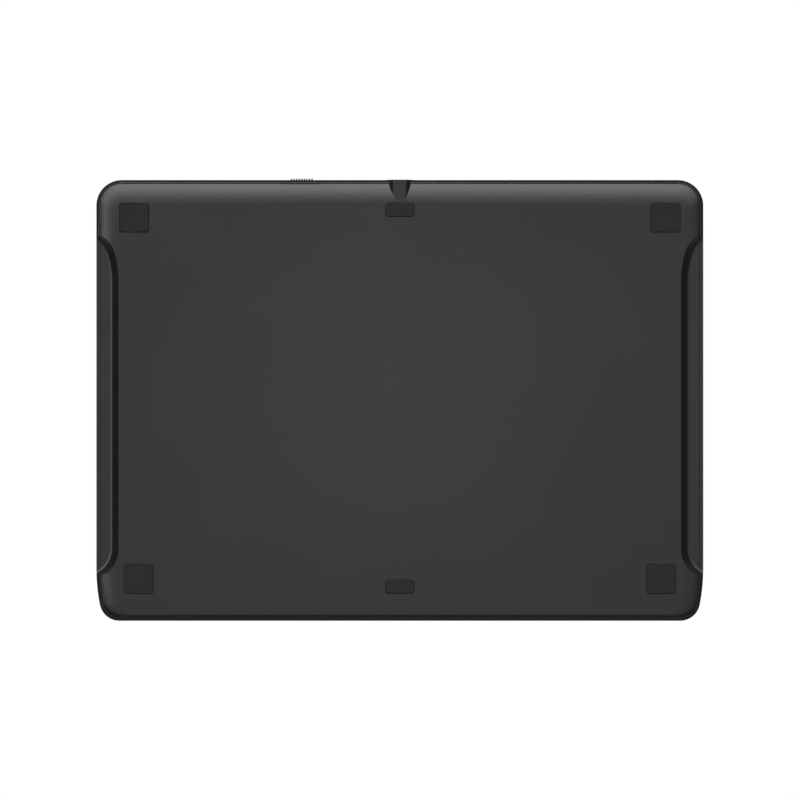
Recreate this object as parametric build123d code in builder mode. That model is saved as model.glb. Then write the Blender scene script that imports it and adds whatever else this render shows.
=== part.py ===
from build123d import *
import os
from math import acos, asin, atan, cos, degrees, sin, sqrt

# Graphics tablet, lying face up on its feet. Millimetres. The table is z = 0, +Y points away from the
# user to the edge with the socket, and +X to the user's right. Left and right are the user's.

# Outline, seen from above
width = 320.0
depth = 232.4
height = 8.0
rear_corner_radius = 13.4
flank_radius = 98.0
flank_length = 27.5
nose_radius = 10.5

# Top shell: a plate with a rim that hangs down round the bottom shell
rim_height = 4.8
rim_wall = 1.9
rim_lip = 0.3
rim_curve_run = 2.0
rim_curve_rise = 3.0
rim_sections = 6
rim_upper_round = 0.45
plate_thickness = 1.7
front_slope_length = 27.5
front_slope_drop = 1.7
front_plate_thickness = 1.0

# Bottom shell: a tray with a curved bevel at the rear and the sides and a short roll at the front
foot_standoff = 0.8
floor_thickness = 1.4
shell_wall = 1.3
seam_gap = 0.25
tray_top_gap = 0.2
bevel_rear = 10.6
bevel_side = 8.0
bevel_front = 1.5
bevel_sections = 6
underside_corner_radius = 4.0
underside_nose_radius = 8.0

# Finger recess along each side
recess_width = 12.0
recess_straight_end = 53.0
recess_front_end = 20.2
recess_long_radius = 50.0
recess_long_turn = 18.0
recess_short_radius = 20.0
recess_front_radius = 18.0
recess_wall_run = 3.7
recess_foot_round = 2.6
recess_rise = 2.1

# Tongue under the socket, and the chin of the top shell behind it
tongue_half_width_rear = 3.5
tongue_half_width_front = 2.2
tongue_length = 12.6
tongue_seam_gap = 0.1
tongue_wall_run_rear = 2.1
tongue_wall_run_front = 8.1

# Feet
foot_size = 15.35
foot_corner_radius = 1.5
foot_pocket_depth = 0.6
foot_pocket_gap = 0.15
foot_edge_round = 0.3
rear_foot_side_gap = 12.5
front_foot_side_gap = 14.9
rear_foot_setback = 12.3
front_foot_setback = 14.6
middle_foot_width = 15.0
middle_foot_depth = 7.1

# Case screws, one over each foot
screw_boss_height = 1.2
screw_boss_radius = 3.5
post_radius = 2.5
screw_radius = 1.0
screw_length = 3.8
screw_head_radius = 1.9
screw_head_height = 0.7
screw_hole_gap = 0.1
screw_pilot_gap = 0.03
screw_driver_radius = 0.8
screw_driver_depth = 0.4

# Drawing sheet on the top face
sheet_side_gap = 14.0
sheet_front_gap = 30.2
sheet_rear_gap = 46.2
sheet_corner_radius = 5.0
sheet_thickness = 0.5
adhesive_thickness = 0.1
sheet_gap = 0.15

# Sensor board and shield plate under the plate of the top shell
sensor_side_gap = 23.0
sensor_end_margin = 1.0
sensor_thickness = 0.8
sensor_corner_radius = 2.0
shield_thickness = 0.3
shield_margin = 2.0

# Corner lights, at the corners of the drawing area
active_side_gap = 29.0
active_end_gap = 4.2
light_arm = 8.0
light_width = 0.9
light_base = 9.4
light_base_thickness = 0.35
light_gap = 0.05
light_pocket_depth = 0.6
light_pocket_margin = 0.3
led_length = 1.6
led_width = 0.8
corner_led_height = 0.3

# Main board
board_left = -70.0
board_right = 62.0
board_rear_gap = 7.4
board_depth = 30.8
board_thickness = 0.8
board_height = 1.8
board_corner_radius = 1.5
board_boss_radius = 2.6
board_screw_inset_x = 4.0
board_screw_inset_y = 4.2
board_screw_radius = 0.8
board_screw_length = 2.0
board_screw_head_radius = 1.8
board_screw_head_height = 0.6
post_hole_gap = 0.6

# Press keys
key_count = 3
key_pitch = 26.0
key_rear_gap = 25.2
key_width = 22.0
key_depth = 7.0
key_corner_radius = 3.2
key_gap = 0.25
key_proud = 0.3
key_edge_round = 0.3
key_flange_margin = 1.2
key_flange_thickness = 0.3
key_flange_gap = 0.05
key_travel = 0.3
key_switch_size = 4.5
key_switch_height = 0.7
key_stem_radius = 1.0
key_stem_gap = 0.1
key_stem_length = 0.5
key_stem_end_gap = 0.05

# Power knob in the rear rim
knob_x = 51.7
knob_width = 11.9
knob_height = 1.4
knob_inset = 0.3
knob_travel = 1.0
knob_slot_gap = 0.1
knob_ribs = 9
knob_rib_pitch = 1.36
knob_rib_width = 1.0
knob_rib_tip_width = 0.5
knob_rib_height = 1.04
knob_rib_round = 0.2
knob_centre_drop = 1.85
knob_flange_overlap = 0.25
knob_flange_height = 2.1
knob_flange_thickness = 1.0
knob_pocket_depth = 0.95
knob_fork_width = 4.0
knob_fork_height = 1.0
knob_fork_length = 3.0
knob_fork_gap = 0.05
knob_running_gap = 0.1
knob_end_gap = 0.3

# Slide switch behind the knob
switch_length = 7.0
switch_depth = 3.4
switch_height = 1.4
switch_lever_width = 1.2
switch_lever_height = 0.6
switch_lever_rise = 0.8
switch_lever_gap = 0.1
switch_lever_inside = 1.6
switch_lever_tip_gap = 0.5
switch_overhang = 0.2

# Charging socket at the rear, of the standard size for small reversible plugs
socket_width = 8.94
socket_height = 3.26
socket_length = 8.6
socket_wall = 0.3
socket_recess = 0.6
socket_centre_height = 4.4
socket_port_gap = 0.1
socket_pocket_gap = 0.15
socket_notch_gap = 0.2
socket_tab_width = 1.5
socket_tab_length = 1.6
socket_tab_thickness = 0.3
socket_tongue_width = 6.7
socket_tongue_thickness = 0.7
socket_tongue_setback = 0.7
socket_back_depth = 2.2
contact_count = 12
contact_pitch = 0.5
contact_width = 0.25
contact_thickness = 0.08
contact_length = 4.0
contact_setback = 0.4

# Battery
battery_width = 100.0
battery_depth = 65.0
battery_thickness = 2.5
battery_front_gap = 54.2
battery_corner_radius = 2.0
battery_tape_thickness = 0.1
battery_tape_margin = 5.0
battery_foam_width = 60.0
battery_foam_depth = 12.0
bay_gap = 1.5
rib_thickness = 1.2
rib_pitch = 30.0
rib_pairs = 2
rib_end_gap = 4.0
lead_x = 30.0
lead_pitch = 1.6
lead_radius = 0.5
lead_bend_radius = 3.0
lead_rise_start = 12.0
lead_rise_end = 4.0
lead_opening = 8.0
plug_width = 5.0
plug_depth = 3.5
plug_height = 1.2
plug_setback = 2.0
plug_socket_depth = 2.0

# Ribbon from the sensor board to the main board
ribbon_x = -30.0
ribbon_width = 20.0
ribbon_thickness = 0.2
ribbon_overlap = 8.0
ribbon_notch_gap = 2.0
ribbon_socket_depth = 4.0
ribbon_socket_height = 1.0
ribbon_socket_setback = 2.0
ribbon_socket_margin = 1.0

# Parts on the main board
radio_x = -57.0
radio_y_from_front = 15.0
radio_width = 14.0
radio_depth = 12.0
radio_board_thickness = 0.6
radio_can_margin = 1.0
radio_can_height = 0.8
antenna_width = 30.0
antenna_depth = 8.0
antenna_thickness = 0.12
antenna_distance = 12.0
coax_radius = 0.35
coax_gap = 0.02
coax_overlap = 1.0
controller_x = -40.0
controller_size = 7.0
controller_height = 0.9
charger_x = 14.0
charger_size = 4.0
charger_height = 0.8
chip_row_from_front = 25.0
part_length = 1.6
part_width = 0.8
part_height = 0.8
part_pitch = 2.6
part_count = 6
part_row_x = 20.0
status_x = 44.0
status_radius = 0.75
status_collar_radius = 1.5
status_led_height = 0.6
status_guide_gap = 0.2

# Heights worked out from the values above
underside_z = foot_standoff
parting_z = height - rim_height
ceiling_z = height - plate_thickness
floor_z = underside_z + floor_thickness
tray_top_z = ceiling_z - tray_top_gap
pocket_z = underside_z + foot_pocket_depth
boss_top_z = floor_z + screw_boss_height
recess_ledge_z = parting_z + recess_rise
rim_curve_end = acos(1 - (rim_wall - rim_lip) / rim_curve_run)
rim_curve_top_z = parting_z + rim_curve_rise * sin(rim_curve_end)
sensor_top_z = ceiling_z - adhesive_thickness
sensor_bottom_z = sensor_top_z - sensor_thickness
shield_bottom_z = sensor_bottom_z - shield_thickness
board_bottom_z = floor_z + board_height
board_top_z = board_bottom_z + board_thickness
sheet_floor_z = height - sheet_thickness - adhesive_thickness
socket_z = socket_centre_height
knob_z = height - knob_centre_drop
ceiling_drop = front_slope_drop - (plate_thickness - front_plate_thickness)
screw_seat_z = pocket_z + screw_head_height + screw_hole_gap
switch_lever_z = board_top_z + switch_lever_rise
key_stem_top_z = board_top_z + key_switch_height + key_travel
key_flange_top_z = ceiling_z - key_flange_gap
light_base_top_z = ceiling_z + light_pocket_depth

# Places worked out from the values above
rear_y = depth / 2
front_y = -depth / 2
half_width = width / 2
tray_inset = rim_wall + seam_gap
slope_start_y = front_y + front_slope_length
sheet_width = width - 2 * sheet_side_gap
sheet_depth = depth - sheet_front_gap - sheet_rear_gap
sheet_y = front_y + sheet_front_gap + sheet_depth / 2
sensor_width = width - 2 * sensor_side_gap
sensor_depth = sheet_depth + 2 * sensor_end_margin
sensor_rear_y = sheet_y + sensor_depth / 2
active_width = width - 2 * active_side_gap
active_depth = sheet_depth - 2 * active_end_gap
light_pocket = light_base + 2 * light_pocket_margin
board_rear = rear_y - board_rear_gap
board_front = board_rear - board_depth
board_width = board_right - board_left
board_centre_x = (board_left + board_right) / 2
board_centre_y = (board_front + board_rear) / 2
key_y = rear_y - key_rear_gap
key_xs = [(number - (key_count - 1) / 2) * key_pitch for number in range(key_count)]
key_names = ["left", "centre", "right"]
bevel_rise = parting_z - underside_z
bevel_angle = 2 * atan(bevel_rise / bevel_rear)
bevel_radius = bevel_rear / sin(bevel_angle)

rear_foot_x = half_width - rear_foot_side_gap - foot_size / 2
front_foot_x = half_width - front_foot_side_gap - foot_size / 2
rear_foot_y = rear_y - rear_foot_setback - foot_size / 2
front_foot_y = front_y + front_foot_setback + foot_size / 2
rear_middle_y = rear_y - rear_foot_setback - middle_foot_depth / 2
front_middle_y = front_y + front_foot_setback + middle_foot_depth / 2
feet = {
    "foot_rear_left": (-rear_foot_x, rear_foot_y, foot_size, foot_size),
    "foot_rear_right": (rear_foot_x, rear_foot_y, foot_size, foot_size),
    "foot_front_left": (-front_foot_x, front_foot_y, foot_size, foot_size),
    "foot_front_right": (front_foot_x, front_foot_y, foot_size, foot_size),
    "foot_rear_middle": (0, rear_middle_y, middle_foot_width, middle_foot_depth),
    "foot_front_middle": (0, front_middle_y, middle_foot_width, middle_foot_depth),
}
screw_places = [(x, y) for x, y, _, _ in feet.values()]
corners = [(side, end) for side in (-1, 1) for end in (-1, 1)]
corner_names = {
    (-1, -1): "front_left",
    (-1, 1): "rear_left",
    (1, -1): "front_right",
    (1, 1): "rear_right",
}
board_screw_reach_x = board_width / 2 - board_screw_inset_x
board_screw_reach_y = board_depth / 2 - board_screw_inset_y
board_screw_places = [
    (board_centre_x + side * board_screw_reach_x, board_centre_y + end * board_screw_reach_y)
    for side, end in corners
]
battery_y = front_y + battery_front_gap + battery_depth / 2
battery_bottom_z = floor_z + battery_tape_thickness
battery_top_z = battery_bottom_z + battery_thickness
bay_width = battery_width + 2 * bay_gap
bay_depth = battery_depth + 2 * bay_gap
rib_xs = [
    side * (bay_width / 2 + rib_thickness / 2 + rib_pitch * (number + 1))
    for side in (-1, 1)
    for number in range(rib_pairs)
]
knob_slot_width = knob_width + 2 * (knob_travel + knob_slot_gap)
knob_flange_width = knob_slot_width + 2 * (knob_travel + knob_flange_overlap)
knob_rear_y = rear_y - knob_inset
knob_flange_rear_y = rear_y - rim_wall - knob_running_gap
knob_flange_front_y = knob_flange_rear_y - knob_flange_thickness
knob_fork_front_y = knob_flange_front_y - knob_fork_length
knob_pocket_width = knob_flange_width + 2 * (knob_travel + knob_end_gap)
knob_pocket_reach = rear_y - knob_fork_front_y + knob_end_gap
switch_rear_y = board_rear + switch_overhang
socket_mouth_y = rear_y - socket_recess
socket_back_y = socket_mouth_y - socket_length
plug_y = board_front + plug_setback
lead_z = battery_bottom_z + battery_thickness / 2
plug_z = board_top_z + plug_height / 2
ribbon_socket_y = board_front + ribbon_socket_setback
radio_y = board_front + radio_y_from_front
antenna_x = radio_x - radio_width / 2 - antenna_distance - antenna_width / 2
coax_z = ceiling_z - antenna_thickness - coax_gap - coax_radius
chip_row_y = board_front + chip_row_from_front

upwards = (Align.CENTER, Align.CENTER, Align.MIN)
downwards = (Align.CENTER, Align.CENTER, Align.MAX)
rearwards = (Align.CENTER, Align.MIN, Align.MIN)
frontwards = (Align.CENTER, Align.MAX, Align.CENTER)

# Limits for telling which faces look up and which edges lie at a place
upward_share = 0.9
place_limit = 0.01

os.makedirs("parts", exist_ok=True)


def save(builder, label):
    """Labels a finished piece and writes it."""
    builder.part.label = label
    export_step(builder.part, f"parts/{label}.step")


def outline(side, rear, front, corner, nose, flank):
    """The tablet's outline, drawn in by side, rear and front, with its own corner radii."""
    half = half_width - side
    back_y = rear_y - rear
    near_y = front_y + front
    length = flank_length - front
    flank_turn = degrees(asin((length - nose) / (flank - nose)))
    with BuildSketch() as face:
        with BuildLine():
            back_line = Line((0, back_y), (half - corner, back_y))
            corner_arc = JernArc(back_line @ 1, (1, 0), corner, -90)
            side_line = Line(corner_arc @ 1, (half, near_y + length))
            flank_arc = JernArc(side_line @ 1, (0, -1), flank, -flank_turn)
            nose_arc = JernArc(flank_arc @ 1, flank_arc % 1, nose, flank_turn - 90)
            Line(nose_arc @ 1, (0, near_y))
            mirror(about=Plane.YZ)
        make_face()
    return face.sketch


def even_outline(inset):
    """The tablet's outline, drawn in by the same amount all round."""
    return outline(
        inset, inset, inset, rear_corner_radius - inset, nose_radius - inset, flank_radius - inset
    )


def tray_section(share, wall=0.0):
    """Outline of the tray at a share of its bevel, from the flat underside at 0 to the seam at 1."""
    angle = bevel_angle * share
    reach = sin(angle) / sin(bevel_angle)
    rise = bevel_radius * (1 - cos(angle))
    roll = sqrt(1 - (1 - rise / bevel_rise) ** 2)
    side = tray_inset + bevel_side * (1 - reach) + wall
    rear = tray_inset + bevel_rear * (1 - reach) + wall
    front = tray_inset + bevel_front * (1 - roll) + wall
    corner = underside_corner_radius + (rear_corner_radius - tray_inset - underside_corner_radius) * reach
    nose = underside_nose_radius + (nose_radius - tray_inset - underside_nose_radius) * reach
    return outline(side, rear, front, corner, nose, flank_radius - side), rise


def tray_form(wall, lift):
    """The tray's lofted form; wall draws it in and lift raises it, for the hollow inside."""
    with BuildPart() as form:
        for number in range(bevel_sections + 1):
            section, rise = tray_section(number / bevel_sections, wall)
            with BuildSketch(Plane.XY.offset(underside_z + lift + rise)):
                add(section)
        loft()
    return form.part


def slope_profile(start_z, drop):
    """Side view of everything under a face that is level and then falls away to the front."""
    radius = (front_slope_length**2 + drop**2) / (2 * drop)
    turn = 2 * degrees(atan(drop / front_slope_length))
    with BuildSketch() as profile:
        with BuildLine():
            level = Line((rear_y + 1, start_z), (slope_start_y, start_z))
            slope = JernArc(level @ 1, (-1, 0), radius, turn)
            tail = Line(slope @ 1, (slope @ 1) + (slope % 1) * 2)
            Polyline(tail @ 1, ((tail @ 1).X, -1), (rear_y + 1, -1), level @ 0)
        make_face()
    return profile.sketch


def light_mark(sign_x, sign_y, gap=0.0):
    """Corner mark of the drawing area, seen from above, with its two arms pointing inwards."""
    with BuildSketch() as mark:
        side_x = Align.MAX if sign_x > 0 else Align.MIN
        side_y = Align.MAX if sign_y > 0 else Align.MIN
        with Locations((sign_x * active_width / 2, sheet_y + sign_y * active_depth / 2)):
            Rectangle(light_arm, light_width, align=(side_x, side_y))
            Rectangle(light_width, light_arm, align=(side_x, side_y))
        if gap:
            offset(amount=gap, kind=Kind.INTERSECTION)
    return mark.sketch


def light_base_place(sign_x, sign_y):
    """Centre of the square base behind a corner mark."""
    return sign_x * (active_width - light_arm) / 2, sheet_y + sign_y * (active_depth - light_arm) / 2


# Tools that cut the shells

with BuildSketch() as recess_outline:
    with BuildLine():
        edge_x = half_width - recess_width
        outside_x = half_width + max(recess_short_radius, recess_front_radius)
        near_y = front_y + recess_front_end
        straight = Line((edge_x, near_y + recess_front_radius), (edge_x, rear_y - recess_straight_end))
        long_arc = JernArc(straight @ 1, (0, 1), recess_long_radius, -recess_long_turn)
        short_arc = JernArc(long_arc @ 1, long_arc % 1, recess_short_radius, recess_long_turn - 90)
        front_arc = JernArc(straight @ 0, (0, -1), recess_front_radius, 90)
        Polyline(short_arc @ 1, (outside_x, (short_arc @ 1).Y), (outside_x, near_y), front_arc @ 1)
    make_face()

with BuildPart() as recess_tool:
    with BuildSketch(Plane.XY.offset(underside_z)):
        add(recess_outline.sketch)
    with BuildSketch(Plane.XY.offset(recess_ledge_z)):
        add(recess_outline.sketch)
        offset(amount=-recess_wall_run)
    loft(ruled=True)
    fillet(recess_tool.edges().group_by(Axis.Z)[-1], radius=recess_foot_round)
    with BuildSketch():
        add(recess_outline.sketch)
    extrude(amount=foot_standoff)
    mirror(about=Plane.YZ)

with BuildPart() as recess_block:
    with BuildSketch():
        add(recess_outline.sketch)
        offset(amount=shell_wall)
    extrude(amount=height)
    mirror(about=Plane.YZ)

with BuildPart() as tray_hollow:
    add(tray_form(shell_wall, floor_thickness))
    hollow_top, _ = tray_section(1, shell_wall)
    with BuildSketch(Plane.XY.offset(parting_z + floor_thickness)):
        add(hollow_top)
    extrude(amount=height)
    add(recess_block.part, mode=Mode.SUBTRACT)

with BuildPart() as lid_hollow:
    with BuildSketch():
        add(even_outline(rim_wall))
    extrude(amount=ceiling_z)
    with BuildSketch(Plane.YZ):
        add(slope_profile(ceiling_z, ceiling_drop))
    extrude(amount=half_width + 1, both=True, mode=Mode.INTERSECT)

# Bottom shell

with BuildPart() as bottom_shell:
    add(tray_form(0, 0))
    with BuildSketch(Plane.XY.offset(parting_z)):
        add(even_outline(tray_inset))
    extrude(amount=tray_top_z - parting_z)
    tongue_rear_y = rear_y - rim_wall - tongue_seam_gap
    tongue_front_y = tongue_rear_y - tongue_length
    for level, share in ((underside_z, 0), (parting_z, 1)):
        rear_half = tongue_half_width_rear + share * tongue_wall_run_rear
        front_half = tongue_half_width_front + share * tongue_wall_run_front
        with BuildSketch(Plane.XY.offset(level)):
            with BuildLine():
                Polyline((0, tongue_rear_y), (rear_half, tongue_rear_y), (front_half, tongue_front_y))
                Line((front_half, tongue_front_y), (0, tongue_front_y))
                mirror(about=Plane.YZ)
            make_face()
    loft(ruled=True)
    add(tray_hollow.part, mode=Mode.SUBTRACT)

    # Bosses for the case screws and the main board
    with BuildSketch(Plane.XY.offset(floor_z)):
        with Locations(*screw_places):
            Circle(screw_boss_radius)
    extrude(amount=screw_boss_height)
    with BuildSketch(Plane.XY.offset(floor_z)):
        with Locations(*board_screw_places):
            Circle(board_boss_radius)
    extrude(amount=board_height)

    # Bay round the battery and ribs under the shield plate
    with BuildSketch(Plane.XY.offset(floor_z)):
        with Locations((0, battery_y)):
            Rectangle(bay_width + 2 * rib_thickness, bay_depth + 2 * rib_thickness)
            Rectangle(bay_width, bay_depth, mode=Mode.SUBTRACT)
        with Locations((lead_x, battery_y + bay_depth / 2)):
            Rectangle(lead_opening, 4 * rib_thickness, mode=Mode.SUBTRACT)
        with Locations(*[(x, sheet_y) for x in rib_xs]):
            Rectangle(rib_thickness, sensor_depth - 2 * rib_end_gap)
    extrude(amount=shield_bottom_z - floor_z)

    # The rim stays under the sloping front of the top shell
    with BuildSketch(Plane.YZ):
        add(slope_profile(tray_top_z, ceiling_drop))
    extrude(amount=half_width + 1, both=True, mode=Mode.INTERSECT)

    # Finger recesses, foot pockets and screw holes
    add(recess_tool.part, mode=Mode.SUBTRACT)
    with BuildSketch(Plane.XY.offset(underside_z)):
        for x, y, wide, deep in feet.values():
            with Locations((x, y)):
                RectangleRounded(
                    wide + 2 * foot_pocket_gap,
                    deep + 2 * foot_pocket_gap,
                    foot_corner_radius + foot_pocket_gap,
                )
    extrude(amount=foot_pocket_depth, mode=Mode.SUBTRACT)
    with Locations(*[Location((x, y, pocket_z), (180, 0, 0)) for x, y in screw_places]):
        CounterBoreHole(
            radius=screw_radius + screw_hole_gap,
            counter_bore_radius=screw_head_radius + screw_hole_gap,
            counter_bore_depth=screw_seat_z - pocket_z,
            depth=boss_top_z - pocket_z,
        )
    with Locations(*[(x, y, board_bottom_z) for x, y in board_screw_places]):
        Hole(radius=board_screw_radius + screw_pilot_gap, depth=board_screw_length)

    # Room for the socket, and for the flange and fork of the power knob
    with BuildSketch(Plane.XZ.offset(-rear_y)):
        with Locations((0, socket_z)):
            SlotOverall(socket_width + 2 * socket_pocket_gap, socket_height + 2 * socket_pocket_gap)
            Rectangle(
                socket_width + 2 * socket_pocket_gap, socket_height, align=(Align.CENTER, Align.MIN)
            )
    extrude(amount=socket_recess + socket_length + socket_notch_gap, mode=Mode.SUBTRACT)
    with BuildSketch(Plane.XY.offset(parting_z)):
        with Locations((knob_x, rear_y)):
            Rectangle(knob_pocket_width, knob_pocket_reach, align=(Align.CENTER, Align.MAX))
    extrude(amount=height, mode=Mode.SUBTRACT)
save(bottom_shell, "bottom_shell")

# Top shell

with BuildPart() as top_shell:
    for number in range(rim_sections + 1):
        angle = rim_curve_end * (1 - number / rim_sections)
        with BuildSketch(Plane.XY.offset(rim_curve_top_z - rim_curve_rise * sin(angle))):
            add(even_outline(rim_curve_run * (1 - cos(angle))))
    loft()
    with BuildSketch(Plane.XY.offset(rim_curve_top_z)):
        add(even_outline(0))
    extrude(amount=height - rim_curve_top_z)
    with BuildSketch(Plane.YZ):
        add(slope_profile(height, front_slope_drop))
    extrude(amount=half_width + 1, both=True, mode=Mode.INTERSECT)
    upper_faces = top_shell.faces().filter_by(
        lambda face: face.normal_at(face.center()).Z > upward_share
    )
    upper_edges = upper_faces.edges().filter_by(
        lambda edge: abs(edge.bounding_box().min.Y - slope_start_y) > place_limit
        or edge.bounding_box().size.Y > place_limit
    )
    fillet(upper_edges, radius=rim_upper_round)

    # Chin round the socket, which widens upwards into the rim
    with BuildSketch(Plane.XZ.offset(-rear_y)):
        with BuildLine():
            chin_widening = tongue_wall_run_rear / bevel_rise
            chin_half_top = tongue_half_width_rear + chin_widening * (rim_curve_top_z - underside_z)
            Polyline(
                (0, underside_z),
                (tongue_half_width_rear, underside_z),
                (chin_half_top, rim_curve_top_z),
                (0, rim_curve_top_z),
            )
            mirror(about=Plane.YZ)
        make_face()
    extrude(amount=rim_wall)
    add(lid_hollow.part, mode=Mode.SUBTRACT)
    add(recess_tool.part, mode=Mode.SUBTRACT)

    # Posts for the case screws
    with BuildSketch(Plane.XY.offset(boss_top_z)):
        with Locations(*screw_places):
            Circle(post_radius)
    extrude(amount=ceiling_z + adhesive_thickness - boss_top_z)
    with Locations(*[Location((x, y, boss_top_z), (180, 0, 0)) for x, y in screw_places]):
        Hole(
            radius=screw_radius + screw_pilot_gap,
            depth=screw_seat_z + screw_length + screw_hole_gap - boss_top_z,
        )

    # Openings for the socket and the power knob
    with BuildSketch(Plane.XZ.offset(-rear_y)):
        with Locations((0, socket_z)):
            SlotOverall(socket_width + 2 * socket_port_gap, socket_height + 2 * socket_port_gap)
        with Locations((knob_x, knob_z)):
            Rectangle(knob_slot_width, knob_height + 2 * knob_slot_gap)
    extrude(amount=rim_wall, mode=Mode.SUBTRACT)
    with BuildSketch(Plane.XY.offset(ceiling_z)):
        with Locations((knob_x, rear_y - rim_wall)):
            Rectangle(
                knob_pocket_width, knob_pocket_reach - rim_wall, align=(Align.CENTER, Align.MAX)
            )
    extrude(amount=knob_pocket_depth, mode=Mode.SUBTRACT)

    # Openings for the keys and the status light, and the pocket of the drawing sheet
    with BuildSketch(Plane.XY.offset(ceiling_z)):
        with Locations(*[(x, key_y) for x in key_xs]):
            RectangleRounded(
                key_width + 2 * key_gap, key_depth + 2 * key_gap, key_corner_radius + key_gap
            )
        with Locations((status_x, key_y)):
            Circle(status_radius + light_gap)
    extrude(amount=plate_thickness, mode=Mode.SUBTRACT)
    with BuildSketch(Plane.XY.offset(sheet_floor_z)):
        with Locations((0, sheet_y)):
            RectangleRounded(
                sheet_width + 2 * sheet_gap, sheet_depth + 2 * sheet_gap, sheet_corner_radius + sheet_gap
            )
    extrude(amount=height - sheet_floor_z, mode=Mode.SUBTRACT)

    # Pockets and slots for the corner lights
    for side, end in corners:
        with BuildSketch(Plane.XY.offset(ceiling_z)):
            with Locations(light_base_place(side, end)):
                Rectangle(light_pocket, light_pocket)
        extrude(amount=light_pocket_depth, mode=Mode.SUBTRACT)
        with BuildSketch(Plane.XY.offset(ceiling_z)):
            add(light_mark(side, end, light_gap))
        extrude(amount=plate_thickness, mode=Mode.SUBTRACT)
save(top_shell, "top_shell")

# Drawing sheet and the films and boards under it

with BuildPart() as drawing_sheet:
    with BuildSketch(Plane.XY.offset(height - sheet_thickness)):
        with Locations((0, sheet_y)):
            RectangleRounded(sheet_width, sheet_depth, sheet_corner_radius)
        for side, end in corners:
            add(light_mark(side, end, light_gap), mode=Mode.SUBTRACT)
    extrude(amount=sheet_thickness)
save(drawing_sheet, "drawing_sheet")

with BuildPart() as sheet_adhesive:
    with BuildSketch(Plane.XY.offset(sheet_floor_z)):
        with Locations((0, sheet_y)):
            RectangleRounded(sheet_width, sheet_depth, sheet_corner_radius)
        for side, end in corners:
            add(light_mark(side, end, light_gap), mode=Mode.SUBTRACT)
    extrude(amount=adhesive_thickness)
save(sheet_adhesive, "sheet_adhesive")

with BuildPart() as sensor_adhesive:
    with BuildSketch(Plane.XY.offset(sensor_top_z)):
        with Locations((0, sheet_y)):
            RectangleRounded(sensor_width, sensor_depth, sensor_corner_radius)
        with Locations(*[light_base_place(side, end) for side, end in corners]):
            Rectangle(light_pocket, light_pocket, mode=Mode.SUBTRACT)
    extrude(amount=adhesive_thickness)
save(sensor_adhesive, "sensor_adhesive")

with BuildPart() as sensor_board:
    with BuildSketch(Plane.XY.offset(sensor_bottom_z)):
        with Locations((0, sheet_y)):
            RectangleRounded(sensor_width, sensor_depth, sensor_corner_radius)
    extrude(amount=sensor_thickness)
save(sensor_board, "sensor_board")

with BuildPart() as shield_plate:
    with BuildSketch(Plane.XY.offset(shield_bottom_z)):
        with Locations((0, sheet_y)):
            RectangleRounded(
                sensor_width - 2 * shield_margin, sensor_depth - 2 * shield_margin, sensor_corner_radius
            )
        with Locations((ribbon_x, sensor_rear_y)):
            Rectangle(
                ribbon_width + 2 * ribbon_notch_gap,
                ribbon_overlap + ribbon_notch_gap,
                align=(Align.CENTER, Align.MAX),
                mode=Mode.SUBTRACT,
            )
    extrude(amount=shield_thickness)
save(shield_plate, "shield_plate")

# Corner lights

for side, end in corners:
    with BuildPart() as corner_light:
        with BuildSketch(Plane.XY.offset(light_base_top_z - light_base_thickness)):
            with Locations(light_base_place(side, end)):
                Rectangle(light_base, light_base)
        extrude(amount=light_base_thickness)
        with BuildSketch(Plane.XY.offset(light_base_top_z)):
            add(light_mark(side, end))
        extrude(amount=height - light_base_top_z)
    save(corner_light, f"corner_light_{corner_names[side, end]}")

with BuildPart() as corner_leds:
    with Locations(*[(*light_base_place(side, end), sensor_top_z) for side, end in corners]):
        Box(led_length, led_width, corner_led_height, align=upwards)
save(corner_leds, "corner_leds")

with BuildPart() as status_light:
    status_guide_z = board_top_z + status_led_height + status_guide_gap
    with Locations((status_x, key_y, status_guide_z)):
        Cylinder(status_radius, height - status_guide_z, align=upwards)
        Cylinder(status_collar_radius, ceiling_z - status_guide_z, align=upwards)
save(status_light, "status_light")

with BuildPart() as status_led:
    with Locations((status_x, key_y, board_top_z)):
        Box(led_length, led_width, status_led_height, align=upwards)
save(status_led, "status_led")

# Feet and case screws

for label, (x, y, wide, deep) in feet.items():
    with BuildPart() as foot:
        with BuildSketch():
            with Locations((x, y)):
                RectangleRounded(wide, deep, foot_corner_radius)
        extrude(amount=pocket_z)
        fillet(foot.edges().group_by(Axis.Z)[0], radius=foot_edge_round)
    save(foot, label)

with BuildPart() as case_screws:
    with Locations(*[(x, y, screw_seat_z) for x, y in screw_places]):
        Cylinder(screw_radius, screw_length, align=upwards)
        Cylinder(screw_head_radius, screw_head_height, align=downwards)
    with BuildSketch(Plane.XY.offset(screw_seat_z - screw_head_height)):
        with Locations(*screw_places):
            RegularPolygon(screw_driver_radius, 6)
    extrude(amount=screw_driver_depth, mode=Mode.SUBTRACT)
save(case_screws, "case_screws")

# Press keys with their switches

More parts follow.
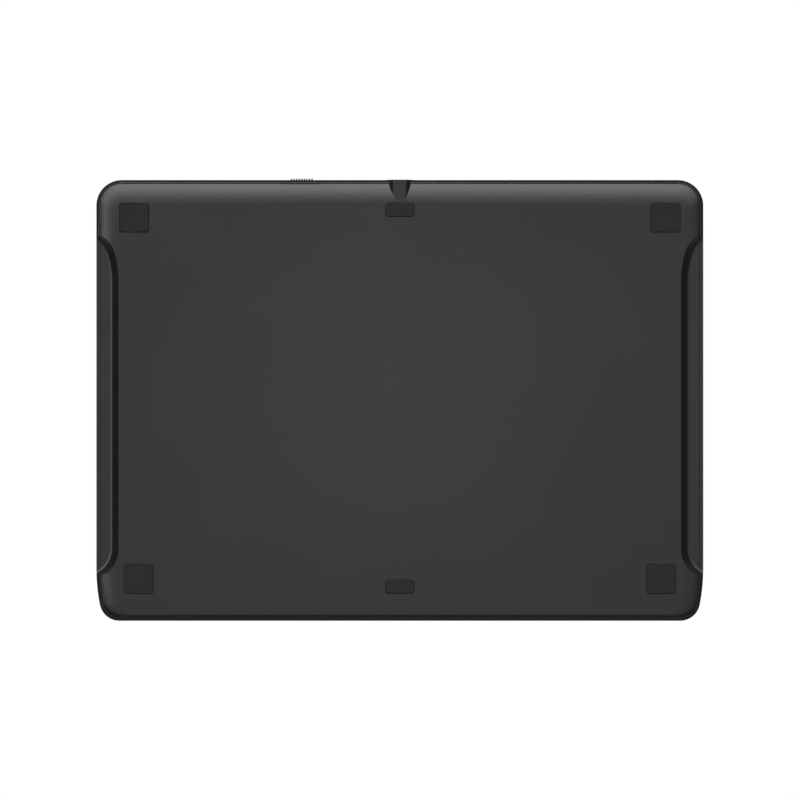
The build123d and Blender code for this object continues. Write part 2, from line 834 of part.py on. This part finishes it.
for label, x in zip(key_names, key_xs):
    with BuildPart() as key:
        with BuildSketch(Plane.XY.offset(key_flange_top_z - key_flange_thickness)):
            with Locations((x, key_y)):
                RectangleRounded(
                    key_width + 2 * key_flange_margin,
                    key_depth + 2 * key_flange_margin,
                    key_corner_radius,
                )
        extrude(amount=key_flange_thickness)
        with BuildSketch(Plane.XY.offset(key_flange_top_z)):
            with Locations((x, key_y)):
                RectangleRounded(key_width, key_depth, key_corner_radius)
        extrude(amount=height + key_proud - key_flange_top_z)
        fillet(key.edges().group_by(Axis.Z)[-1], radius=key_edge_round)
        with Locations((x, key_y, key_stem_top_z)):
            Cylinder(
                key_stem_radius, key_flange_top_z - key_flange_thickness - key_stem_top_z, align=upwards
            )
    save(key, f"key_{label}")

    with BuildPart() as key_stem:
        with Locations((x, key_y, key_stem_top_z - key_stem_length)):
            Cylinder(key_stem_radius, key_stem_length, align=upwards)
    save(key_stem, f"key_stem_{label}")

    with BuildPart() as key_switch:
        with Locations((x, key_y, board_top_z)):
            Box(key_switch_size, key_switch_size, key_switch_height, align=upwards)
        with Locations((x, key_y, board_top_z + key_switch_height)):
            Hole(key_stem_radius + key_stem_gap, depth=key_stem_length + key_stem_end_gap)
    save(key_switch, f"key_switch_{label}")

# Power knob and the slide switch that it moves

with BuildPart() as power_knob:
    with Locations((knob_x, knob_flange_rear_y, knob_z)):
        Box(knob_flange_width, knob_flange_thickness, knob_flange_height, align=frontwards)
    with Locations((knob_x, knob_rear_y, knob_z)):
        Box(knob_width, knob_rear_y - knob_flange_rear_y, knob_height, align=frontwards)
    with Locations((knob_x, knob_flange_front_y, switch_lever_z)):
        Box(knob_fork_width, knob_fork_length, knob_fork_height, align=frontwards)
        Box(
            switch_lever_width + 2 * knob_fork_gap,
            knob_fork_length,
            knob_fork_height,
            align=frontwards,
            mode=Mode.SUBTRACT,
        )
    with BuildSketch(Plane.XY.offset(knob_z - knob_height / 2)):
        for number in range(knob_ribs):
            rib_x = knob_x + (number - (knob_ribs - 1) / 2) * knob_rib_pitch
            with Locations((rib_x, knob_rear_y)):
                Polygon(
                    (-knob_rib_width / 2, 0),
                    (knob_rib_width / 2, 0),
                    (knob_rib_tip_width / 2, knob_rib_height),
                    (-knob_rib_tip_width / 2, knob_rib_height),
                    align=None,
                )
    extrude(amount=knob_height)
    rib_tips = power_knob.edges().filter_by(Axis.Z).group_by(Axis.Y)[-1]
    fillet(rib_tips, radius=knob_rib_round)
save(power_knob, "power_knob")

with BuildPart() as power_switch:
    with Locations((knob_x, switch_rear_y, board_top_z)):
        Box(switch_length, switch_depth, switch_height, align=(Align.CENTER, Align.MAX, Align.MIN))
    with Locations((knob_x, switch_rear_y, switch_lever_z)):
        Box(
            switch_lever_width + 2 * (knob_travel + switch_lever_gap),
            switch_lever_inside + switch_lever_gap,
            switch_lever_height + 2 * switch_lever_gap,
            align=frontwards,
            mode=Mode.SUBTRACT,
        )
save(power_switch, "power_switch")

with BuildPart() as power_switch_lever:
    lever_tip_y = knob_flange_front_y - switch_lever_tip_gap
    with Locations((knob_x, lever_tip_y, switch_lever_z)):
        Box(
            switch_lever_width,
            lever_tip_y - switch_rear_y + switch_lever_inside,
            switch_lever_height,
            align=frontwards,
        )
save(power_switch_lever, "power_switch_lever")

# Socket

with BuildPart() as socket_shell:
    with BuildSketch(Plane.XZ.offset(-socket_mouth_y)):
        with Locations((0, socket_z)):
            SlotOverall(socket_width, socket_height)
            SlotOverall(socket_width - 2 * socket_wall, socket_height - 2 * socket_wall, mode=Mode.SUBTRACT)
    extrude(amount=socket_length)
    tab_x = (socket_width + socket_tab_width) / 2 - socket_wall
    with Locations(*[(side * tab_x, socket_back_y, board_top_z) for side in (-1, 1)]):
        Box(socket_tab_width, socket_tab_length, socket_tab_thickness, align=rearwards)
save(socket_shell, "socket_shell")

with BuildPart() as socket_insulator:
    with BuildSketch(Plane.XZ.offset(-socket_back_y - socket_back_depth)):
        with Locations((0, socket_z)):
            SlotOverall(socket_width - 2 * socket_wall, socket_height - 2 * socket_wall)
    extrude(amount=socket_back_depth)
    with Locations((0, socket_back_y + socket_back_depth, socket_z)):
        Box(
            socket_tongue_width,
            socket_length - socket_back_depth - socket_tongue_setback,
            socket_tongue_thickness,
            align=(Align.CENTER, Align.MIN, Align.CENTER),
        )
save(socket_insulator, "socket_insulator")

with BuildPart() as socket_contacts:
    contact_y = socket_mouth_y - socket_tongue_setback - contact_setback
    for face in (-1, 1):
        contact_z = socket_z + face * (socket_tongue_thickness + contact_thickness) / 2
        with Locations((0, contact_y - contact_length / 2, contact_z)):
            with GridLocations(contact_pitch, 1, contact_count, 1):
                Box(contact_width, contact_length, contact_thickness)
save(socket_contacts, "socket_contacts")

# Main board and what stands on it

with BuildPart() as main_board:
    with BuildSketch(Plane.XY.offset(board_bottom_z)):
        with Locations((board_centre_x, board_centre_y)):
            RectangleRounded(board_width, board_depth, board_corner_radius)
        with Locations((0, socket_back_y - socket_notch_gap)):
            Rectangle(
                socket_width + 2 * socket_notch_gap,
                rear_y - socket_back_y,
                align=(Align.CENTER, Align.MIN),
                mode=Mode.SUBTRACT,
            )
        with Locations((0, rear_middle_y)):
            Circle(post_radius + post_hole_gap, mode=Mode.SUBTRACT)
        with Locations(*board_screw_places):
            Circle(board_screw_radius + screw_hole_gap, mode=Mode.SUBTRACT)
    extrude(amount=board_thickness)
save(main_board, "main_board")

with BuildPart() as main_board_screws:
    with Locations(*[(x, y, board_top_z) for x, y in board_screw_places]):
        Cylinder(board_screw_radius, board_screw_length, align=downwards)
        Cylinder(board_screw_head_radius, board_screw_head_height, align=upwards)
    with BuildSketch(Plane.XY.offset(board_top_z + board_screw_head_height)):
        with Locations(*board_screw_places):
            RegularPolygon(screw_driver_radius, 6)
    extrude(amount=-screw_driver_depth, mode=Mode.SUBTRACT)
save(main_board_screws, "main_board_screws")

with BuildPart() as main_controller:
    with Locations((controller_x, chip_row_y, board_top_z)):
        Box(controller_size, controller_size, controller_height, align=upwards)
save(main_controller, "main_controller")

with BuildPart() as charger_chip:
    with Locations((charger_x, chip_row_y, board_top_z)):
        Box(charger_size, charger_size, charger_height, align=upwards)
save(charger_chip, "charger_chip")

with BuildPart() as board_parts:
    with Locations(
        *[(part_row_x + number * part_pitch, chip_row_y, board_top_z) for number in range(part_count)]
    ):
        Box(part_width, part_length, part_height, align=upwards)
save(board_parts, "board_parts")

with BuildPart() as radio_board:
    with Locations((radio_x, radio_y, board_top_z)):
        Box(radio_width, radio_depth, radio_board_thickness, align=upwards)
save(radio_board, "radio_board")

with BuildPart() as radio_can:
    with Locations((radio_x, radio_y, board_top_z + radio_board_thickness)):
        Box(
            radio_width - 2 * radio_can_margin,
            radio_depth - 2 * radio_can_margin,
            radio_can_height,
            align=upwards,
        )
save(radio_can, "radio_can")

with BuildPart() as antenna:
    with Locations((antenna_x, radio_y, ceiling_z)):
        Box(antenna_width, antenna_depth, antenna_thickness, align=downwards)
save(antenna, "antenna")

with BuildPart() as antenna_lead:
    lead_start_x = radio_x - radio_width / 2 + radio_can_margin
    lead_end_x = antenna_x + antenna_width / 2 - coax_overlap
    with BuildSketch(Plane.YZ.offset(lead_end_x)):
        with Locations((radio_y, coax_z)):
            Circle(coax_radius)
    extrude(amount=lead_start_x - lead_end_x)
save(antenna_lead, "antenna_lead")

# Ribbon from the sensor board

with BuildPart() as sensor_ribbon:
    with Locations((ribbon_x, sensor_rear_y - ribbon_overlap, sensor_bottom_z - ribbon_thickness)):
        Box(
            ribbon_width,
            ribbon_socket_y - sensor_rear_y + ribbon_overlap,
            ribbon_thickness,
            align=rearwards,
        )
save(sensor_ribbon, "sensor_ribbon")

with BuildPart() as ribbon_socket:
    with Locations((ribbon_x, ribbon_socket_y, board_top_z)):
        Box(
            ribbon_width + 2 * ribbon_socket_margin,
            ribbon_socket_depth,
            ribbon_socket_height,
            align=rearwards,
        )
save(ribbon_socket, "ribbon_socket")

# Battery

with BuildPart() as battery_tape:
    with Locations((0, battery_y, floor_z)):
        Box(
            battery_width - 2 * battery_tape_margin,
            battery_depth - 2 * battery_tape_margin,
            battery_tape_thickness,
            align=upwards,
        )
save(battery_tape, "battery_tape")

with BuildPart() as battery_cell:
    with Locations((0, battery_y, battery_bottom_z)):
        Box(battery_width, battery_depth, battery_thickness, align=upwards)
    fillet(battery_cell.edges().filter_by(Axis.Z), radius=battery_corner_radius)
save(battery_cell, "battery_cell")

with BuildPart() as battery_foam:
    with Locations((0, battery_y, battery_top_z)):
        Box(battery_foam_width, battery_foam_depth, shield_bottom_z - battery_top_z, align=upwards)
save(battery_foam, "battery_foam")

with BuildPart() as battery_leads:
    for side in (-1, 1):
        lead_place_x = lead_x + side * lead_pitch / 2
        with BuildLine():
            lead_path = FilletPolyline(
                (lead_place_x, battery_y + battery_depth / 2, lead_z),
                (lead_place_x, board_front - lead_rise_start, lead_z),
                (lead_place_x, board_front - lead_rise_end, plug_z),
                (lead_place_x, plug_y, plug_z),
                radius=lead_bend_radius,
            )
        with BuildSketch(Plane(lead_path @ 0, z_dir=lead_path % 0)):
            Circle(lead_radius)
        sweep(path=lead_path)
save(battery_leads, "battery_leads")

with BuildPart() as battery_plug:
    with Locations((lead_x, plug_y, board_top_z)):
        Box(plug_width, plug_depth, plug_height, align=rearwards)
save(battery_plug, "battery_plug")

with BuildPart() as battery_socket:
    with Locations((lead_x, plug_y + plug_depth, board_top_z)):
        Box(plug_width, plug_socket_depth, plug_height, align=rearwards)
save(battery_socket, "battery_socket")
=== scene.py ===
from math import pi

import bpy
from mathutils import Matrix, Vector

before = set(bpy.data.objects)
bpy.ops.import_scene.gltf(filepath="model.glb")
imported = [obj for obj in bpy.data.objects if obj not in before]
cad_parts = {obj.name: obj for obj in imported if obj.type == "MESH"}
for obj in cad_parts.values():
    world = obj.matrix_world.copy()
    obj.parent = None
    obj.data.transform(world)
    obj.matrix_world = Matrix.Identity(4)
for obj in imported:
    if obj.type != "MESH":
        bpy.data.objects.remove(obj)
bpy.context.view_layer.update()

# The photograph looks straight up at the underside, with the socket's edge at its top.
frame_width = 0.42175
outline_height = 0.0058
view_centre = (-0.00009, 0.00023)
lens_mm = 250.0
sensor_mm = 36.0
camera_reach = 60.0

# Noise values outside this range are rare, so it is stretched over a finish's whole range.
noise_low = 0.3
noise_high = 0.7


def linear(code):
    """The linear colour of an sRGB hex value."""
    channels = [int(code[place : place + 2], 16) / 255 for place in (1, 3, 5)]
    return [c / 12.92 if c <= 0.04045 else ((c + 0.055) / 1.055) ** 2.4 for c in channels] + [1.0]


def add(tree, kind, inputs=None, **settings):
    """Adds a node; an input takes a value, or another node's output, which is then linked to it."""
    made = tree.nodes.new(kind)
    for name, value in settings.items():
        setattr(made, name, value)
    for name, value in (inputs or {}).items():
        if isinstance(value, bpy.types.NodeSocket):
            tree.links.new(value, made.inputs[name])
        else:
            made.inputs[name].default_value = value
    return made


def empty_material(name):
    """A new material and its empty node tree."""
    material = bpy.data.materials.new(name)
    material.use_nodes = True
    material.node_tree.nodes.clear()
    return material, material.node_tree


def per_metre(size_mm):
    """Texture scale at which a pattern's features are about so many millimetres wide."""
    return 1000.0 / size_mm


def grained(name, dark, light, grain_mm, depth_mm, gloss, drift_mm=70.0, edge_mm=0.05, **surface):
    """A surface with a fine grain all over, and shade and gloss that drift faintly across it.

    gloss is the lowest and highest roughness, and edge_mm the radius that sharp edges seem to
    have; further values go to the shader's own sockets."""
    material, tree = empty_material(name)
    place = add(tree, "ShaderNodeTexCoord").outputs["Object"]
    grain = add(
        tree,
        "ShaderNodeTexNoise",
        {"Vector": place, "Scale": per_metre(grain_mm), "Detail": 2.0, "Roughness": 0.6},
    ).outputs["Fac"]
    drift = add(
        tree,
        "ShaderNodeTexNoise",
        {"Vector": place, "Scale": per_metre(drift_mm), "Detail": 3.0, "Roughness": 0.5},
    ).outputs["Fac"]
    blend = add(tree, "ShaderNodeMath", {0: grain, 1: drift}, operation="ADD").outputs[0]
    shade = add(
        tree,
        "ShaderNodeMapRange",
        {"Value": blend, "From Min": 2 * noise_low, "From Max": 2 * noise_high},
    ).outputs["Result"]
    colour = add(
        tree, "ShaderNodeMix", {0: shade, 6: linear(dark), 7: linear(light)}, data_type="RGBA"
    ).outputs[2]
    roughness = add(
        tree,
        "ShaderNodeMapRange",
        {
            "Value": drift,
            "From Min": noise_low,
            "From Max": noise_high,
            "To Min": gloss[0],
            "To Max": gloss[1],
        },
    ).outputs["Result"]
    rounded = add(tree, "ShaderNodeBevel", {"Radius": edge_mm / 1000.0}, samples=4).outputs["Normal"]
    relief = add(
        tree, "ShaderNodeBump", {"Height": grain, "Distance": depth_mm / 1000.0, "Normal": rounded}
    ).outputs["Normal"]
    shader = add(
        tree,
        "ShaderNodeBsdfPrincipled",
        {"Base Color": colour, "Roughness": roughness, "Normal": relief, **surface},
    )
    add(tree, "ShaderNodeOutputMaterial", {"Surface": shader.outputs["BSDF"]})
    return material


# Outside of the case

# ABS moulded against a spark-eroded tool: dark grey, matt, with a sandy grain that breaks up highlights.
# The real grain is about 0.1 mm and is drawn at 0.35 mm, so that it shows.
eroded_abs = grained(
    "abs_spark_eroded", "#1C2023", "#212629", 0.35, 0.006, (0.27, 0.31), edge_mm=0.15, IOR=1.5
)

# ABS from a finer tool, for the knob and the keys: nearly black, and smoother under a finger.
satin_abs = grained("abs_satin_moulded", "#121417", "#16191C", 0.25, 0.003, (0.27, 0.31), IOR=1.5)

# Silicone rubber, compression moulded: nearly black, dull and faintly grippy.
foot_rubber = grained("silicone_rubber_matt", "#0C0E11", "#101215", 0.3, 0.008, (0.6, 0.7), IOR=1.41)

# PET film with an etched tooth for the pen: dull, darker than the case, a little polished in places.
# The tooth is about 0.05 mm and is drawn at 0.3 mm, so that it shows.
drawing_film = grained("pet_film_etched", "#1C1D1F", "#212224", 0.3, 0.003, (0.52, 0.62), 45.0, IOR=1.57)

# Acrylic filled with white pigment, injection moulded: milky and smooth, so that it glows evenly.
milky_acrylic = grained(
    "acrylic_opal",
    "#D2D5D8",
    "#DEE0E2",
    0.6,
    0.0005,
    (0.22, 0.3),
    IOR=1.49,
    **{"Subsurface Weight": 0.4, "Subsurface Scale": 0.001},
)

# Inside of the case

# Steel strip, stamped and nickel plated: bright and slightly warm, with the strip's fine rolling grain.
nickel_steel = grained("steel_nickel_plated", "#C4C1BB", "#D2CFC9", 0.2, 0.0008, (0.24, 0.34), Metallic=1.0)

# Steel, cold headed and blackened: the screws' dull black.
black_steel = grained("steel_blackened", "#2C2C2E", "#38383A", 0.2, 0.001, (0.35, 0.5), Metallic=1.0)

# Copper alloy, gold flashed: the warm yellow of contacts.
gold_flash = grained("copper_gold_flashed", "#E0B765", "#EBC678", 0.1, 0.0003, (0.18, 0.26), Metallic=1.0)

# Liquid crystal polymer with glass fibre: black, faintly mottled.
black_polymer = grained("lcp_glass_filled", "#1C1C1D", "#232324", 0.25, 0.001, (0.45, 0.6), IOR=1.6)

# Glass epoxy with green solder resist: glossy, with the weave's soft unevenness underneath.
green_board = grained("glass_epoxy_solder_resist", "#0F4327", "#14502F", 0.5, 0.001, (0.2, 0.3), IOR=1.55)

# Aluminium foil, rolled: a soft grey mirror.
rolled_foil = grained("aluminium_rolled", "#C9CACC", "#D5D6D8", 0.4, 0.0008, (0.28, 0.42), Metallic=1.0)

# Aluminium laminate of a pouch cell: the same foil under a nylon skin.
pouch_foil = grained("aluminium_laminate", "#B4B5B8", "#BFC0C3", 0.8, 0.002, (0.3, 0.4), Metallic=0.9)

# Acrylic adhesive on film: clear and slightly cloudy.
film_adhesive = grained("acrylic_adhesive_film", "#C2C3BE", "#CDCEC9", 0.5, 0.001, (0.3, 0.4), IOR=1.47)

# Epoxy moulding compound: the dull black of chips.
chip_epoxy = grained("epoxy_moulded", "#1E1E20", "#272729", 0.15, 0.001, (0.5, 0.62), IOR=1.55)

# Nylon, moulded: the off-white of small connectors.
white_nylon = grained("nylon_moulded", "#D8D3C6", "#E2DED2", 0.2, 0.001, (0.35, 0.45), IOR=1.53)

# Polyimide film over copper: amber and glossy.
amber_film = grained("polyimide_film", "#8E4E1B", "#A15E26", 0.6, 0.0008, (0.2, 0.28), IOR=1.7)

# PVC, extruded over wire: black and smooth.
lead_jacket = grained("pvc_extruded", "#1B1B1C", "#242425", 0.4, 0.001, (0.3, 0.4), IOR=1.53)

# Polyurethane foam, open celled: black and very dull.
black_foam = grained("polyurethane_foam", "#1D1D1E", "#2B2B2C", 0.4, 0.05, (0.85, 0.95), IOR=1.4)

# Silicone cast over a chip: the yellowish bead of a white diode.
diode_cast = grained("silicone_phosphor_cast", "#D9D39A", "#E6E1AE", 0.2, 0.0005, (0.15, 0.25), IOR=1.41)

finishes = {
    eroded_abs: ["bottom_shell", "top_shell"],
    satin_abs: ["key_left", "key_centre", "key_right", "power_knob"],
    foot_rubber: [
        "foot_rear_left",
        "foot_rear_right",
        "foot_rear_middle",
        "foot_front_left",
        "foot_front_right",
        "foot_front_middle",
    ],
    drawing_film: ["drawing_sheet"],
    milky_acrylic: [
        "corner_light_front_left",
        "corner_light_front_right",
        "corner_light_rear_left",
        "corner_light_rear_right",
        "status_light",
    ],
    nickel_steel: [
        "socket_shell",
        "radio_can",
        "key_switch_left",
        "key_switch_centre",
        "key_switch_right",
        "power_switch",
    ],
    black_steel: ["case_screws", "main_board_screws"],
    gold_flash: ["socket_contacts"],
    black_polymer: [
        "socket_insulator",
        "key_stem_left",
        "key_stem_centre",
        "key_stem_right",
        "power_switch_lever",
    ],
    green_board: ["main_board", "sensor_board", "radio_board"],
    rolled_foil: ["shield_plate"],
    pouch_foil: ["battery_cell"],
    film_adhesive: ["sheet_adhesive", "sensor_adhesive", "battery_tape"],
    chip_epoxy: ["main_controller", "charger_chip", "board_parts"],
    white_nylon: ["battery_plug", "battery_socket", "ribbon_socket"],
    amber_film: ["sensor_ribbon", "antenna"],
    lead_jacket: ["battery_leads", "antenna_lead"],
    black_foam: ["battery_foam"],
    diode_cast: ["corner_leds", "status_led"],
}
for finish, names in finishes.items():
    for name in names:
        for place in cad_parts[name].material_slots:
            place.material = finish


def one_sided_floor():
    """A pale floor that is seen from above only, and lets light through to the underside."""
    material, tree = empty_material("floor_painted_board")
    place = add(tree, "ShaderNodeTexCoord").outputs["Object"]
    fleck = add(tree, "ShaderNodeTexNoise", {"Vector": place, "Scale": per_metre(8.0)}).outputs["Fac"]
    colour = add(
        tree, "ShaderNodeMix", {0: fleck, 6: linear("#E9E9EA"), 7: linear("#EEEEEF")}, data_type="RGBA"
    ).outputs[2]
    paint = add(tree, "ShaderNodeBsdfDiffuse", {"Color": colour}).outputs["BSDF"]
    clear = add(tree, "ShaderNodeBsdfTransparent").outputs["BSDF"]
    seen = add(tree, "ShaderNodeLightPath").outputs["Is Camera Ray"]
    under = add(tree, "ShaderNodeNewGeometry").outputs["Backfacing"]
    solid = add(tree, "ShaderNodeMath", {0: seen, 1: under}, operation="SUBTRACT", use_clamp=True).outputs[0]
    shown = add(tree, "ShaderNodeMixShader", {0: solid, 1: clear, 2: paint})
    add(tree, "ShaderNodeOutputMaterial", {"Surface": shown.outputs["Shader"]})
    return material


def lay_floor(reach=12.0):
    """The floor that the feet stand on, reaching so many metres from the middle to each side."""
    mesh = bpy.data.meshes.new("floor")
    corners = [(-reach, -reach, 0), (reach, -reach, 0), (reach, reach, 0), (-reach, reach, 0)]
    mesh.from_pydata(corners, [], [(0, 1, 2, 3)])
    floor = bpy.data.objects.new("floor", mesh)
    bpy.context.scene.collection.objects.link(floor)
    mesh.materials.append(one_sided_floor())


def hang_lamp(name, place, size, watts):
    """A softbox that faces the tablet; one above it lights the case but isn't mirrored in it."""
    light = bpy.data.lights.new(name, "AREA")
    light.shape = "RECTANGLE"
    light.size, light.size_y = size
    light.energy = watts
    lamp = bpy.data.objects.new(name, light)
    lamp.location = place
    lamp.rotation_euler = (-Vector(place)).to_track_quat("-Z", "Y").to_euler()
    lamp.visible_camera = False
    lamp.visible_glossy = lamp.location.z < 0
    bpy.context.scene.collection.objects.link(lamp)


# Where the studio's light and its mirrored panels fade out and in, as the height of a direction
# above or below the horizon, from 0 level to 1 straight up or down.
light_band = (0.2, 1.0)
overhead_band = (0.6, 1.0)
panel_band = (0.6, 0.3)
strip_band = (0.2, 0.05)
underside_band = (0.45, 0.62)

# The same along the depth axis: panels stand at the front and the rear, and the side box is
# behind the middle. The powers say how fast the rear and side boxes fall off.
panel_sector = (0.2, 0.6)
side_sector = (-0.25, 0.05)
rear_power = 1.8
side_power = 2.2


def fill_world(light_up, light_down, sheen_up, sheen_around, sheen_down, sheen_rear, sheen_side):
    """Soft light from straight above and straight below that fades out towards the dark horizon.

    The sheen levels are what glossy surfaces mirror: straight up, low all round above the horizon,
    straight down, and growing from there towards the rear and the right. The camera and clear
    plastics see plain white."""
    world = bpy.data.worlds.new("studio")
    bpy.context.scene.world = world
    world.use_nodes = True
    tree = world.node_tree
    tree.nodes.clear()

    def reckon(kind, first, second):
        return add(tree, "ShaderNodeMath", {0: first, 1: second}, operation=kind).outputs[0]

    def choose(share, first, second):
        return add(tree, "ShaderNodeMix", {0: share, 2: first, 3: second}, data_type="FLOAT").outputs[0]

    def fade(value, band):
        return add(
            tree,
            "ShaderNodeMapRange",
            {"Value": value, "From Min": band[0], "From Max": band[1]},
            interpolation_type="SMOOTHSTEP",
        ).outputs["Result"]

    direction = add(tree, "ShaderNodeTexCoord").outputs["Generated"]
    axes = add(tree, "ShaderNodeSeparateXYZ", {0: direction}).outputs
    rays = add(tree, "ShaderNodeLightPath").outputs
    glossy = rays["Is Glossy Ray"]
    slope = reckon("ABSOLUTE", axes["Z"], 0.0)
    sky = reckon("GREATER_THAN", axes["Z"], 0.0)
    light = reckon("MULTIPLY", choose(sky, light_down, light_up), fade(slope, light_band))
    ends = fade(reckon("ABSOLUTE", axes["Y"], 0.0), panel_sector)
    panels = reckon("MULTIPLY", ends, fade(slope, panel_band))
    around = reckon("MULTIPLY", sheen_around, reckon("MAXIMUM", fade(slope, strip_band), panels))
    overhead = reckon("ADD", reckon("MULTIPLY", sheen_up, fade(slope, overhead_band)), around)
    rear = reckon("POWER", reckon("MAXIMUM", axes["Y"], 0.0), rear_power)
    side = reckon("POWER", reckon("MAXIMUM", axes["X"], 0.0), side_power)
    side = reckon("MULTIPLY", side, fade(axes["Y"], side_sector))
    boxes = reckon("ADD", reckon("MULTIPLY", rear, sheen_rear), reckon("MULTIPLY", side, sheen_side))
    underneath = reckon("MULTIPLY", reckon("ADD", boxes, sheen_down), fade(slope, underside_band))
    level = choose(glossy, light, choose(sky, underneath, overhead))
    seen = reckon("MAXIMUM", rays["Is Camera Ray"], rays["Is Transmission Ray"])
    strength = choose(seen, level, 1.0)
    glow = add(tree, "ShaderNodeBackground", {"Color": (1.0, 1.0, 1.0, 1.0), "Strength": strength})
    add(tree, "ShaderNodeOutputWorld", {"Surface": glow.outputs["Background"]})


def set_camera():
    """A long lens straight under the tablet."""
    camera = bpy.data.cameras.new("camera")
    camera.lens = lens_mm
    camera.sensor_width = sensor_mm
    holder = bpy.data.objects.new("camera", camera)
    distance = frame_width * lens_mm / sensor_mm
    holder.location = (*view_centre, outline_height - distance)
    holder.rotation_euler = (0, pi, 0)
    camera.clip_end = camera_reach
    bpy.context.scene.collection.objects.link(holder)
    bpy.context.scene.camera = holder


set_camera()
lay_floor()
fill_world(
    light_up=1.5,
    light_down=0.95,
    sheen_up=0.45,
    sheen_around=0.3,
    sheen_down=0.55,
    sheen_rear=7.8,
    sheen_side=4.4,
)
hang_lamp("key_softbox_above", (-0.35, -0.45, 1.5), (0.9, 0.9), 4.0)
hang_lamp("rear_softbox_above", (0.3, 0.5, 1.4), (1.0, 0.5), 1.2)
hang_lamp("centre_softbox_below", (0.0, 0.0, -0.8), (0.16, 0.16), 0.07)
bpy.context.scene.view_settings.view_transform = "Standard"
